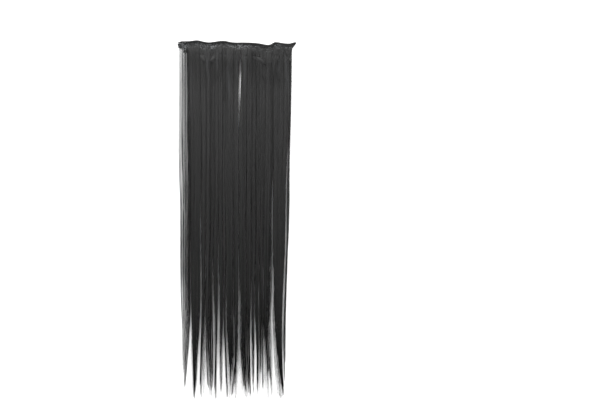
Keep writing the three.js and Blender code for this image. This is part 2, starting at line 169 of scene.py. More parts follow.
# head, third, low, end: a line's place across at four places down
# opens, gap: where it opens, and how wide it gets, as a share of the widest gap
# slit: how wide it is where it has only just opened, in millimetres
LINES = columns("head third low end opens gap slit", [
    (0.014, 0.01, 0.029, 0.031, 0, 0, 0),
    (0.102, 0.11, 0.105, 0.102, 0.73, 0.62, 1.2),
    (0.186, 0.199, 0.193, 0.186, 0.61, 0.27, 1.6),
    (0.242, 0.246, 0.229, 0.226, 0.57, 0.53, 2.6),
    (0.28, 0.28, 0.262, 0.264, 0.78, 0.12, 1.2),
    (0.318, 0.309, 0.298, 0.296, 0.68, 0.24, 2),
    (0.347, 0.347, 0.344, 0.34, 0.65, 0.3, 2.4),
    (0.377, 0.377, 0.386, 0.39, 0.81, 0.25, 1.4),
    (0.415, 0.403, 0.408, 0.422, 0.58, 0.27, 2.6),
    (0.475, 0.47, 0.471, 0.474, 0.83, 0.1, 1.2),
    (0.53, 0.514, 0.521, 0.518, 0.62, 0.5, 2.4),
    (0.589, 0.581, 0.578, 0.581, 0.78, 0.22, 1.8),
    (0.631, 0.627, 0.621, 0.626, 0.79, 0.27, 1.6),
    (0.665, 0.665, 0.65, 0.657, 0.83, 0.1, 1.2),
    (0.712, 0.703, 0.682, 0.686, 0.8, 0.18, 2.4),
    (0.746, 0.737, 0.72, 0.734, 0.79, 0.45, 1.4),
    (0.805, 0.805, 0.79, 0.804, 0.42, 1, 2.2),
    (0.936, 0.932, 0.889, 0.887, 0.3, 0.2, 2.4),
    (0.962, 0.949, 0.914, 0.909, 0, 0, 0),
])
LINE_STOPS = np.array([0, THIRD_ROW, LOW_ROW, LAST_SHARED_ROW])
LINE_PLACES = np.stack([LINES[name] for name in ("head", "third", "low", "end")], axis=1)
# tip, reach: where the lock ends, across and down
# bare_left, bare_right: the share of the lock that is loose strands with no body under them
# fill, stray, sparse: how many strands it has, how many don't keep to it, how many are left where it is bare
LOCKS = columns("tip reach thick folds bare_left bare_right fill stray sparse", [
    (0.049, 0.976, 0.62, 1, 0.97, 0.02, 0.54, 0.01, 0.22),
    (0.14, 0.999, 0.95, 2, 0.03, 0.06, 1, 0.1, 0.07),
    (0.19, 0.987, 0.7, 1, 0.12, 0.1, 0.9, 0.15, 0.07),
    (0.274, 0.976, 0.9, 1, 0.1, 0.08, 1, 0.15, 0.07),
    (0.288, 0.968, 0.8, 1, 0.08, 0.08, 1, 0.15, 0.07),
    (0.31, 1, 1, 1, 0.08, 0.08, 1, 0.15, 0.07),
    (0.359, 0.974, 0.95, 1, 0.08, 0.08, 1, 0.15, 0.07),
    (0.412, 0.998, 0.8, 1, 0.08, 0.1, 1, 0.15, 0.07),
    (0.439, 0.963, 1, 1, 0.06, 0.06, 1, 0.15, 0.07),
    (0.466, 0.99, 0.92, 1, 0.06, 0.06, 1, 0.16, 0.07),
    (0.58, 0.979, 1.04, 1, 0.06, 0.06, 1, 0.16, 0.07),
    (0.608, 0.987, 0.86, 1, 0.08, 0.08, 1, 0.18, 0.07),
    (0.64, 0.96, 0.66, 1, 0.12, 0.12, 0.9, 0.18, 0.07),
    (0.67, 0.976, 1.04, 1, 0.06, 0.06, 1, 0.18, 0.07),
    (0.703, 0.971, 0.96, 1, 0.06, 0.1, 1, 0.18, 0.07),
    (0.78, 0.957, 0.92, 2, 0.05, 0.42, 1, 0.2, 0.2),
    (0.895, 0.992, 1, 2, 0.1, 0.03, 1, 0.12, 0.3),
    (0.908, 0.95, 0.55, 1, 0.1, 0.4, 1.2, 0, 0.3),
])
# a fold runs from (from, start) to (to, end), across and down
HEAD_FOLDS = columns("from to start end rise spread", [
    (0.07, 0.09, 0.02, 0.1, 0.6, 1),
    (0.16, 0.3, 0.045, 0.032, 0.7, 0.7),
    (0.24, 0.265, 0.02, 0.075, 0.8, 0.8),
    (0.335, 0.335, 0.02, 0.06, 0.7, 0.8),
    (0.44, 0.41, 0.035, 0.14, 1, 1.3),
    (0.55, 0.56, 0.025, 0.12, 0.8, 0.8),
    (0.79, 0.79, 0.02, 0.065, 0.8, 0.9),
    (0.93, 0.81, 0.02, 0.075, 1, 0.9),
    (0.87, 0.77, 0.02, 0.1, 0.7, 0.8),
])
# painted highlights and painted shade of the relief under the head, and a few long lighter streaks, as ovals:
# middle across and down, half-sizes, shift across for each length down, and what is added to the tone
PAINTED_LIGHT_AND_SHADE = columns("at place wide long lean change", [
    (0.135, 0.04, 0.035, 0.014, 0, -0.5),
    (0.49, 0.034, 0.035, 0.01, 0, -0.5),
    (0.66, 0.03, 0.06, 0.009, 0, -0.5),
    (0.88, 0.038, 0.04, 0.014, -0.6, -0.5),
    (0.36, 0.075, 0.03, 0.03, 0, -0.15),
    (0.43, 0.12, 0.024, 0.05, 0, 0.35),
    (0.25, 0.07, 0.008, 0.05, 0.4, 0.5),
    (0.335, 0.06, 0.008, 0.035, 0, 0.5),
    (0.565, 0.08, 0.007, 0.06, 0, 0.45),
    (0.85, 0.067, 0.01, 0.04, -1.7, 0.65),
    (0.815, 0.075, 0.012, 0.045, -1.7, -0.5),
    (0.785, 0.085, 0.009, 0.045, -1.2, 0.5),
    (0.92, 0.085, 0.014, 0.06, 0.3, 0.35),
    (0.08, 0.1, 0.04, 0.09, 0, 0.3),
    (0.505, 0.36, 0.014, 0.2, 0, 0.16),
    (0.82, 0.42, 0.014, 0.2, 0, 0.2),
    (0.4, 0.6, 0.012, 0.2, 0, 0.12),
])
LOCK_COUNT = len(LOCKS["tip"])
print(LOCK_COUNT, "locks between", len(LINES["head"]), "lines")
print(len(HEAD_FOLDS["from"]), "folds under the head,", len(PAINTED_LIGHT_AND_SHADE["at"]), "lighter and darker places")

# %% [markdown]
# ## From tables to smooth shapes
#
# A table gives a few heights, and the eye wants a curve through them. A cubic between each two rows, with
# the slope at a row taken from its neighbours, is smooth and never far from the table. All of these
# functions take whole numpy arrays, so a million points cost no more lines than one.


# %% Curves, easing and the low relief of the head
def smooth(value, low, high):
    """Eased step: t = (value - low) / (high - low) held to 0..1, then t squared times (3 - 2t)."""
    t = np.clip((value - low) / (high - low), 0, 1)
    return t * t * (3 - 2 * t)


def through(stops, values, at):
    """Cubic through (stops, values), level at both ends. Values may have columns, which come last."""
    values = np.asarray(values, float)
    at = np.asarray(at, float)
    slopes = np.zeros_like(values)
    wide = (stops[2:] - stops[:-2]).reshape((-1,) + (1,) * (values.ndim - 1))
    slopes[1:-1] = (values[2:] - values[:-2]) / wide
    row = np.clip(np.searchsorted(stops, at) - 1, 0, len(stops) - 2)
    span = stops[row + 1] - stops[row]
    t = np.clip((at - stops[row]) / span, 0, 1)
    if values.ndim > 1:
        t, span = t[..., None], span[..., None]
    before, after = values[row], values[row + 1]
    bend = t * (1 - t) ** 2 * span * slopes[row] - t * t * (1 - t) * span * slopes[row + 1]
    return before + (after - before) * t * t * (3 - 2 * t) + bend


def across(share):
    """Millimetres from the weft's middle at a share of its width."""
    return (share - 0.5) * WEFT_WIDTH


def edge_drop(x):
    """How far the scalloped top edge lies below its highest point at x."""
    return SCALLOP_DEPTH * through(TOP_EDGE["at"], TOP_EDGE["drop"], x / WEFT_WIDTH + 0.5)


def clip_under(x):
    """The nearest clip's middle, and how fully the head rests on it: 1 over it, 0 halfway to the next."""
    nearest = CLIP_CENTRES[np.abs(np.asarray(x)[..., None] - CLIP_CENTRES).argmin(axis=-1)]
    lets = smooth(np.abs(x - nearest), CLIP_WIDTH / 2 + SAG_CLEARANCE, CLIP_PITCH / 2 + SAG_CLEARANCE)
    return nearest, 1 - lets


def head_height(x):
    """Height of the head's underside: on the clips, and sagging a little between two."""
    return CLIP_HEIGHT - HEAD_SAG * (1 - clip_under(x)[1])


def underside(x, down):
    """The head's height, eased to nothing over the slope that follows the clips."""
    return head_height(x) * (1 - smooth(down, CLIP_FOOT, CLIP_FOOT + SLOPE_LENGTH))


def relief(x, down):
    """The highest of two low forms: each clip's arched bump, and the rounded ridge of the nearest fold.

    A bump is height * exp(-((down - its place) / spread)^2), and a fold is rise * (1 - s^2 / 2) * exp(-a^2),
    with s from 0 to 1 along the fold and a the distance from it over its spread."""
    centre, rests = clip_under(x)
    arch = BUMP["arch"] * (2 * (x - centre) / CLIP_WIDTH) ** 2
    high = BUMP["height"] * rests * np.exp(-(((down - BUMP["down"] - arch) / BUMP["spread"]) ** 2))
    for start_x, end_x, start, end, rise, spread in zip(*HEAD_FOLDS.values()):
        foot_x, foot_d = across(start_x), start * WEFT_LENGTH
        run_x, run_d = across(end_x) - foot_x, end * WEFT_LENGTH - foot_d
        share = np.clip(((x - foot_x) * run_x + (down - foot_d) * run_d) / (run_x**2 + run_d**2), 0, 1)
        away = np.hypot(x - foot_x - share * run_x, down - foot_d - share * run_d) / (spread * FOLD_SPREAD)
        high = np.maximum(high, rise * FOLD_HEIGHT * (1 - share * share / 2) * np.exp(-away * away))
    return high


print("edge drop at the clips:", edge_drop(CLIP_CENTRES).round(2), "mm")

# %% [markdown]
# ## Locks that share lines
#
# Loose hair clumps: fibres that touch cling to each other, so a curtain of hair turns into locks with
# valleys between them, and the valleys open into gaps towards the tips. Each line between two locks is one
# curve with one opening, so neighbours always fit, whatever the tables say.


# %% Lines, openings, and the place of any point in any lock
def line_place(index, down):
    """Place across of a line: the table's curve down the length, with a slow sideways wander."""
    weights = through(LINE_STOPS, np.eye(len(LINE_STOPS)), down / WEFT_LENGTH)
    turn = 2 * np.pi * (down / WANDER_LENGTH + index * WANDER_TURN)
    grown = smooth(down, SCALLOP_FADE / 2, WANDER_LENGTH)
    return across((LINE_PLACES[index] * weights).sum(axis=-1)) + WANDER * grown * np.sin(turn)


def line_opening(index, down):
    """Width of a line's gap: a thin slit where it opens, then gap * t^growth with t from 0 to 1 down to the
    last shared row. The parting is width * sin(pi t^skew)^blunt instead, along its own run."""
    share = down / WEFT_LENGTH
    opens, gap = LINES["opens"][index], LINES["gap"][index] * WIDEST_GAP
    slit = LINES["slit"][index] * smooth(share, opens - SLIT_BEFORE, opens + SLIT_BEHIND)
    below = np.clip((share - opens) / (LAST_SHARED_ROW - opens), 0, 1)
    along = np.clip((share - PARTING["start"]) / (PARTING["end"] - PARTING["start"]), 0, 1)
    swell = np.maximum(np.sin(np.pi * along ** PARTING["skew"]), 0) ** PARTING["blunt"]
    hump = PARTING["width"] * swell * (index == PARTING["line"])
    return np.maximum(np.maximum(slit, below**GAP_GROWTH * gap), hump)


def valley(index, down):
    """Height of the hair on a line, as a share of the crests: lowest where it opens and at the parting."""
    share = down / WEFT_LENGTH
    opens = np.where(LINES["gap"][index] == 0, SIDE_VALLEY_END, LINES["opens"][index])
    high = VALLEY_AT_HEAD + (VALLEY_PARTED - VALLEY_AT_HEAD) * smooth(share, VALLEY_START, opens)
    deep_from, deep_to = PARTING["deep"]
    parted = smooth(share, PARTING["start"], deep_from) * (1 - smooth(share, deep_to, PARTING["end"]))
    parted = parted * (index == PARTING["line"])
    return high * (1 - parted) + PARTING["valley"] * parted


def hair_y(x, down):
    """Place along: straight down from the top edge, whose scallops fade into the length."""
    return -down - edge_drop(x) * (1 - smooth(down, HEAD_END, SCALLOP_FADE))


def in_lock(index, share, down, level=0):
    """x, y, underside and top of the hair at a share s of a lock's width.

    The crest is side + (1 - side) * sqrt(sin(pi s)), less a dent (1 + cos(4 pi s)) / 2 in a lock of two
    folds. Below the last shared row the lock is drawn in towards its own end point, by a power of what is
    left of its length. `level` fills the valleys, but not one that is open."""
    last = LAST_SHARED_ROW * WEFT_LENGTH
    row = np.minimum(down, last)
    left = line_place(index, row) + line_opening(index, row) / 2
    right = line_place(index + 1, row) - line_opening(index + 1, row) / 2
    x = left + (right - left) * share
    end = LOCKS["reach"][index] * WEFT_LENGTH
    tip = np.clip((down - last) / (end - last), 0, 1)
    narrow = (1 - tip) ** TIP_ROUNDING
    low = underside(x, row)
    arch = np.sin(np.pi * np.clip(share, 0, 1))
    side = valley(index, row) * (1 - share) + valley(index + 1, row) * share
    between = np.where(LOCKS["folds"][index] > 1, (1 + np.cos(4 * np.pi * share)) / 2, 0)
    crest = side + (1 - side) * np.sqrt(arch) - FOLD_DENT * arch * between
    crest = crest + (1 - crest) * level * (1 - (side < VALLEY_OPEN))
    thick = HAIR_THICKNESS * through(THICKNESS["at"], THICKNESS["thick"], row / WEFT_LENGTH)
    high = low + thick * LOCKS["thick"][index] * crest + relief(x, row)
    x = across(LOCKS["tip"][index]) * (1 - narrow) + x * narrow
    return x, hair_y(x, down), low * narrow, TIP_HEIGHT * (1 - narrow) + high * narrow


lock_widths = np.diff(line_place(np.arange(LOCK_COUNT + 1), np.full(LOCK_COUNT + 1, WEFT_LENGTH / 2)))
print("lock widths halfway down, mm:", lock_widths.round(1))

# %% [markdown]
# ## Getting arrays into Blender
#
# A mesh is a list of points and a list of faces. Python loops over a million of them are slow, and
# `foreach_set` hands Blender whole arrays instead. Everything is closed, because a surface with a back but
# no inside looks wrong from underneath and can't be printed or weighed.


# %% Mesh helpers
def to_metres(points):
    """Millimetres with the head at y = 0 become metres with the middle of the weft's length at y = 0."""
    return (np.asarray(points, float) + (0, WEFT_LENGTH / 2, 0)) / 1000


def new_piece(name, points, quads, triangles=(), **values):
    """An object from points in millimetres and faces, with any values given a point as attributes."""
    points = to_metres(points.reshape(-1, 3))
    quads = np.asarray(quads, np.int32).reshape(-1, 4)
    triangles = np.asarray(triangles, np.int32).reshape(-1, 3)
    corners = np.concatenate([quads.ravel(), triangles.ravel()])
    starts = np.concatenate([np.arange(len(quads)) * 4, quads.size + np.arange(len(triangles)) * 3])
    mesh = bpy.data.meshes.new(name)
    mesh.vertices.add(len(points))
    mesh.vertices.foreach_set("co", points.ravel())
    mesh.loops.add(len(corners))
    mesh.loops.foreach_set("vertex_index", corners)
    mesh.polygons.add(len(starts))
    mesh.polygons.foreach_set("loop_start", starts.astype(np.int32))
    mesh.polygons.foreach_set("use_smooth", np.ones(len(starts), bool))
    mesh.update(calc_edges=True)
    for key, value in values.items():
        layer = mesh.attributes.new(key, "FLOAT", "POINT")
        layer.data.foreach_set("value", np.asarray(value, float).ravel())
    piece = bpy.data.objects.new(name, mesh)
    bpy.context.collection.objects.link(piece)
    print(name, len(points), "points,", 2 * len(quads) + len(triangles), "triangles")
    return piece


def tube_faces(count, rows, sides):
    """Quads round `count` tubes of `rows` rings of `sides` points, and a fan over each open end."""
    one = np.arange(count)[:, None, None] * rows * sides
    row = np.arange(rows - 1)[None, :, None] * sides
    side = np.arange(sides)[None, None, :]
    after = (side + 1) % sides
    near, far = one + row, one + row + sides
    quads = np.stack([near + side, near + after, far + after, far + side], axis=-1)
    fan = np.arange(1, sides - 1)[None, :]
    first = np.arange(count)[:, None] * rows * sides
    last = first + (rows - 1) * sides
    start_cap = np.stack([first + 0 * fan, first + fan + 1, first + fan], axis=-1)
    end_cap = np.stack([last + 0 * fan, last + fan, last + fan + 1], axis=-1)
    return quads, np.concatenate([start_cap.reshape(-1, 3), end_cap.reshape(-1, 3)])


print("a three-sided tube of two rings has", tube_faces(1, 2, 3)[0].size // 4, "quads round it")

# %% [markdown]
# ## Camera, floor and light
#
# The picture is taken from straight above a white sweep, with a soft light at each side. A long lens keeps
# the far ends from leaning. The frame is 600 by 400 pixels, and one pixel covers 1.671 mm of the floor,
# which puts the head's middle 63 pixels left of the frame's centre.

# %% Camera straight above, at the photograph's scale
PIXEL = 1.671e-3
FRAME_SIZE = (600, 400)
HEAD_MIDDLE = (237.0, 40.4)
CAMERA_HEIGHT = 2.6
SENSOR = 36.0
aim_x = (FRAME_SIZE[0] / 2 - HEAD_MIDDLE[0]) * PIXEL
aim_y = cad_high[1] - (FRAME_SIZE[1] / 2 - HEAD_MIDDLE[1]) * PIXEL
lens = bpy.data.cameras.new("copy_stand_camera")
lens.sensor_width = SENSOR
lens.lens = SENSOR * CAMERA_HEIGHT / (FRAME_SIZE[0] * PIXEL)
camera = bpy.data.objects.new("copy_stand_camera", lens)
camera.location = (aim_x, aim_y, CAMERA_HEIGHT)
bpy.context.collection.objects.link(camera)
bpy.context.scene.camera = camera
print("lens", round(lens.lens, 1), "mm at", CAMERA_HEIGHT, "m")
print("aimed at", round(aim_x, 4), round(float(aim_y), 4))

# %% Sweep and lamps, in metres and watts
SWEEP_SIZE = 8.0
SOFTBOXES = {"left_softbox": (-1.3, 0.9, 1.6), "right_softbox": (1.5, 0.9, 1.6)}
SOFTBOX_SIZE = 1.0
SOFTBOX_AIM = (0, 0.1, 0)
SOFTBOX_WATTS = 64
SURROUND_STRENGTH = 0.42
bpy.context.scene.view_settings.view_transform = "Standard"
bpy.ops.mesh.primitive_plane_add(size=SWEEP_SIZE)
sweep = bpy.context.object
sweep.name = "white_sweep"


def area_lamp(name, place, target, size, watts):
    """A square soft box at `place` that faces `target`."""
    data = bpy.data.lights.new(name, "AREA")
    data.shape, data.size, data.size_y, data.energy = "RECTANGLE", size, size, watts
    lamp = bpy.data.objects.new(name, data)
    aim = np.array(target, float) - np.array(place, float)
    lamp.location = place
    lamp.rotation_euler = (
        math.atan2(math.hypot(aim[0], aim[1]), -aim[2]), 0, math.atan2(-aim[0], aim[1]))
    bpy.context.collection.objects.link(lamp)


for name, place in SOFTBOXES.items():
    area_lamp(name, place, SOFTBOX_AIM, SOFTBOX_SIZE, SOFTBOX_WATTS)
world = bpy.data.worlds.new("studio_air")
bpy.context.scene.world = world
world.use_nodes = True
world.node_tree.nodes["Background"].inputs["Color"].default_value = (1, 1, 1, 1)
world.node_tree.nodes["Background"].inputs["Strength"].default_value = SURROUND_STRENGTH
print(len(SOFTBOXES), "soft boxes and an even white surround")

# %% [markdown]
# ## Lock bodies
#
# Inside each lock the fibres lie so close that no light gets through. One closed, grooved body per lock
# stands for that core: a surface of two parameters, round the lock and down it. It is a little smaller than
# the lock, so that the strands cover it, and it ends before the tip, where only strands go on.

# %% One grooved body for each lock
BODY_ROWS = 96
BODY_TOP = 19
BODY_UNDER = 7
BODY_CROWDING = 1.35
BODY_REACH = 0.9
BODY_THINS = 300.0
# shares of the lock's width
LOCK_MARGIN = 0.03
BODY_NARROWING = 0.9
# shares of the hair's height
BODY_HEIGHT = 0.9
BODY_FLATTEST = 0.25
BODY_BULGE = 0.2
# millimetres
BODY_THINNEST = 0.25
BODY_CLEARANCE = 0.05
GROOVE_DEPTH = 0.35
GROOVE_PITCH = 1.7
GROOVE_LEAN = 0.004
GROOVE_EDGE = 0.3
# the lock at the left side, which is loose from the head on
SIDE_LOCK = 0


def body_rings(lock):
    """One lock's rings of points, over its top from left to right and back under it.

    With s from -1 to 1 across the lock, the top is low + (high - low) * BODY_HEIGHT, less the groove
    depth * (0.5 + 0.5 sin(2 pi x / pitch)), which fades at the sides. The underside bulges by s^2."""
    end = LOCKS["reach"][lock] * WEFT_LENGTH * BODY_REACH
    down = HEAD_END + (end - HEAD_END) * np.linspace(0, 1, BODY_ROWS)[:, None] ** BODY_CROWDING
    loose = 1 if lock == SIDE_LOCK else smooth(down, *LOOSENS)
    start_share = LOCKS["bare_left"][lock] * loose + LOCK_MARGIN
    end_share = 1 - LOCK_MARGIN - LOCKS["bare_right"][lock] * loose
    thins = 1 - BODY_NARROWING * smooth(down, BODY_THINS, end)
    middle, half = (start_share + end_share) / 2, (end_share - start_share) / 2 * thins
    over = np.linspace(-1, 1, BODY_TOP)[None, :]
    under = np.linspace(1, -1, BODY_UNDER + 2)[None, 1:-1]
    x, y, low, high = in_lock(lock, middle + half * over, down)
    grooves = GROOVE_DEPTH * (0.5 + 0.5 * np.sin(2 * np.pi * x / GROOVE_PITCH + lock + GROOVE_LEAN * down))
    top = low + (high - low) * BODY_HEIGHT - grooves * smooth(1 - np.abs(over), 0, GROOVE_EDGE)
    top = low + (top - low) * (BODY_FLATTEST + (1 - BODY_FLATTEST) * thins)
    over_side = np.stack([x, y, np.maximum(top, low + BODY_THINNEST)], axis=-1)
    x, y, low, high = in_lock(lock, middle + half * under, down)
    under_side = np.stack([x, y, low + BODY_CLEARANCE + BODY_BULGE * (high - low) * under**2], axis=-1)
    return np.concatenate([over_side, under_side], axis=1)


body_points = np.stack([body_rings(lock) for lock in range(LOCK_COUNT)])
lock_bodies = new_piece("lock_bodies", body_points, *tube_faces(LOCK_COUNT, BODY_ROWS, BODY_TOP + BODY_UNDER))

# %% [markdown]
# ## Strands
#
# What the eye reads as hair is the top layer of strands: each a slightly different grey, crossing its
# neighbours at small angles, and ending at its own length. A particle system would be quick, but can't be
# exported as a mesh. So each strand is a thin closed tube of three sides, and all of them are worked out at
# once as one array of strands by points. A real fibre is 0.07 mm thick, which a picture at this scale can't
# show, so a strand here stands for a few fibres that cling together.

# %% Strand sizes: radii, heights and places down the hair are millimetres
STRAND_POINTS = 16
STRAND_CROWDING = 1.7
STRAND_SIDES = 3
STRAND_START = 2.6
STRAND_RADIUS = 0.21
TIP_RADIUS = 0.06
# each strand's own thickness, and where along its run it tapers
RADIUS_RANGE = (0.6, 1.25)
TAPERS = (0.64, 1.03)
# the strands fan out over the band until here, and lie on it a little further
FLARE_END = 9.0
BAND_COVER = 2.0
BAND_CLEARANCE = 0.15
BAND_SINK = 0.1
STRAND_LIFT = 0.12
# above the loose part neighbouring locks mix: strands reach past the lock, stray sideways and fill valleys
OVERLAP = 0.08
SIDE_JITTER = 0.25
VALLEY_FILL = 0.75
# where strands gather into clumps, where strays leave their lock, where clumps drift and waves grow
GATHERS = (250, 540)
STRAYS_LEAVE = (190, 340)
DRIFTS = (380, 590)
WAVES_GROW = (30, 260)
BEND_LENGTH = 170
BEND_WIDTH = 0.35
# length and size of each wave
WAVES = ((310, 1), (130, 0.5))
# the streaks' grid: its cells down and across, their sizes, where it starts left of the middle, and how far
# inside its last cell a place is held
SEED = 11
STREAK_CELLS = (7, 140)
STREAK_LENGTH = 100
STREAK_WIDTH = 1.6
STREAK_START = 104
LAST_CELL = 1.001
# tone: its base, the streaks' part at the head and what is added below, each strand's own part, the painted
# shade taken off towards the tips and on deep strands, and the least tone
TONE = {
    "base": 0.38, "streaks": 0.04, "more_streaks": 0.16, "own": 0.09, "painted_shade_below": 0.26,
    "painted_shade_deep": 0.3, "least": 0.05,
}
# the painted shade towards the tips and the stronger streaks grow in between these places down
TONE_FADES = (60, 420)
tone_grid = np.random.default_rng(SEED).normal(0, 1, STREAK_CELLS)
print("each strand has", STRAND_POINTS, "rings of", STRAND_SIDES, "points")


# %% Strand tones and paths
def streaks(x, down):
    """Soft random streaks: values on a grid of long narrow cells, blended both ways."""
    across_at = np.clip((x + STREAK_START) / STREAK_WIDTH, 0, tone_grid.shape[1] - LAST_CELL)
    down_at = np.clip(down / STREAK_LENGTH, 0, tone_grid.shape[0] - LAST_CELL)
    i, j = down_at.astype(int), across_at.astype(int)
    u, v = down_at - i, across_at - j
    near = tone_grid[i, j] * (1 - v) + tone_grid[i, j + 1] * v
    far = tone_grid[i + 1, j] * (1 - v) + tone_grid[i + 1, j + 1] * v
    return near * (1 - u) + far * u


def painted_light_and_shade(x, down):
    """Painted highlights and painted shade of the relief under the head: change * exp(-a^2) for each leaning
    oval, with a = 1 on its edge.
    """
    lift = 0 * x
    for at, place, wide, long, lean, change in zip(*PAINTED_LIGHT_AND_SHADE.values()):
        below = down / WEFT_LENGTH - place
        away = ((x - across(at + lean * below)) / (wide * WEFT_WIDTH)) ** 2 + (below / long) ** 2
        lift = lift + change * np.exp(-away)
    return lift


def strand_paths(hair, rng):
    """Centre lines of strands: x, y, z of each point of each strand, and its distance down.

    A strand goes from its place in the lock towards its clump's middle, by `pull` times an eased step. Its
    x is keeps * (place in the lock) + (1 - keeps) * (place if the locks never parted), so a stray, which
    hardly keeps to its lock, stays behind in the gap. Then come the clump's drift and bend, the strand's
    own waves, and a sideways jitter where the locks still mix, which they don't beside the parting."""
    each = {key: value[:, None] for key, value in hair.items()}
    reach = LOCKS["reach"][each["lock"]] * WEFT_LENGTH * each["reach"]
    down = STRAND_START + (reach - STRAND_START) * np.linspace(0, 1, STRAND_POINTS) ** STRAND_CROWDING
    lock = np.broadcast_to(each["lock"], down.shape)
    gather = each["pull"] * smooth(down, *GATHERS)
    share = each["share"] * (1 - gather) + each["clump"] * gather
    upper = 1 - smooth(down, *LOOSENS)
    mixes = upper * ~np.isin(each["lock"], (PARTING["line"] - 1, PARTING["line"]))
    share = 0.5 + (share - 0.5) * (1 + OVERLAP * mixes)
    x, _, low, high = in_lock(lock, share, down, VALLEY_FILL * upper)
    left, right = line_place(lock, down), line_place(lock + 1, down)
    free = left + (right - left) * each["share"]
    keeps = 1 - (1 - each["keeps"]) * smooth(down, *STRAYS_LEAVE)
    bend = np.sin(2 * np.pi * (down / BEND_LENGTH + each["bend"])) * BEND_WIDTH
    x = x * keeps + free * (1 - keeps) + smooth(down, *DRIFTS) * (each["drift"] + bend)
    phase = rng.uniform(0, 1, (len(down), len(WAVES), 1))
    swing = sum(
        size * np.sin(2 * np.pi * (down / length + phase[:, wave]))
        for wave, (length, size) in enumerate(WAVES))
    x = x + each["wave"] * smooth(down, *WAVES_GROW) * swing
    x = x + rng.normal(0, SIDE_JITTER, (len(down), 1)) * mixes
    head = (x / WEFT_WIDTH + 0.5 - LINES["head"][0]) / (LINES["head"][-1] - LINES["head"][0])
    on_band = 1 - smooth(down, STRAND_START, FLARE_END)
    x = x * (1 - on_band) + across(head) * on_band
    band_top = head_height(x) + BAND_THICKNESS + BAND_CLEARANCE
    covers = down < HEAD_END + BAND_COVER
    z = low + (np.where(covers, band_top, high) - low) * each["depth"] + STRAND_LIFT
    z = np.where(covers, np.maximum(z, band_top - BAND_SINK), z)
    return np.stack([x, hair_y(x, down), z], axis=-1), down


def strand_piece(name, hair, rng):
    """A mesh of closed three-sided tubes along strand_paths, thinner towards the tips, with a tone."""
    centre, down = strand_paths(hair, rng)
    count = len(down)
    run = (down - down[:, :1]) / (down[:, -1:] - down[:, :1])
    full = STRAND_RADIUS * hair["fine"][:, None] * rng.uniform(*RADIUS_RANGE, (count, 1))
    thick = full * (1 - smooth(run, *TAPERS) * (1 - TIP_RADIUS / STRAND_RADIUS))
    turn = 2 * np.pi * np.arange(STRAND_SIDES) / STRAND_SIDES + np.pi / 2
    ring = np.stack([np.cos(turn), 0 * turn, np.sin(turn)], axis=-1)
    points = centre[:, :, None, :] + thick[:, :, None, None] * ring
    below = smooth(down, *TONE_FADES)
    tone = TONE["base"] + (TONE["streaks"] + TONE["more_streaks"] * below) * streaks(centre[..., 0], down)
    tone = tone + rng.normal(0, TONE["own"], (count, 1))
    deep = (1 - np.clip(hair["depth"], 0, 1))[:, None]
    # painted shade: strands darker towards the tips, and darker the deeper they lie
    tone = tone - TONE["painted_shade_below"] * below - TONE["painted_shade_deep"] * deep
    # painted highlights and painted shade of the folds and bumps under the head, from the table of ovals
    tone = np.clip(tone + painted_light_and_shade(centre[..., 0], down), TONE["least"], 1)
    faces = tube_faces(count, STRAND_POINTS, STRAND_SIDES)
    return new_piece(name, points, *faces, tone=np.repeat(tone, STRAND_SIDES))


print("tone of the streaks at the middle:", round(float(streaks(np.zeros(1), np.zeros(1))[0]), 2))

# %% Cover strands, in four pieces from left to right
STRANDS_A_MILLIMETRE = 34
GROUPS = {
    "strands_left": (0, 4), "strands_inner_left": (4, 9),
    "strands_inner_right": (9, 14), "strands_right": (14, 18),
}
# clumps: millimetres across, the least number, and how unevenly they and their strands lie, as shares
CLUMP_WIDTH = 3.0
LEAST_CLUMPS = 2
CLUMP_JITTER = 0.25
CLUMP_BLUR = 0.06
# how much shorter a clump may be, with a power, and how far it drifts sideways in millimetres
CLUMP_SHORTER = 0.07
CLUMP_SHORTER_POWER = 1.6
CLUMP_DRIFT = 1.3
PULL_RANGE = (0.4, 1)
# a bare side counts as at least this wide, and the strands thin out over it by a power
LEAST_BARE = 0.01
BARE_POWER = 6
MOSTLY_BARE = 0.5
# most strands lie on top, the rest deeper
TOP_SHARE = 0.78
TOP_DEPTHS = (0.9, 1.05)
LOWER_DEPTHS = (0.1, 0.9)
# gamma spreads, as shape and scale: how far short of its clump a strand ends, and how far it waves
END_SPREAD = (1.2, 0.026)
WAVE_SPREAD = (1.2, 0.12)
REACH_RANGE = (0.75, 1.002)
# strays: how far they keep to the lock, how much shorter they may be, and how fine they are
STRAY_KEEPS = (-0.1, 0.5)
STRAY_SHORTER = 0.1
FINE = 0.72


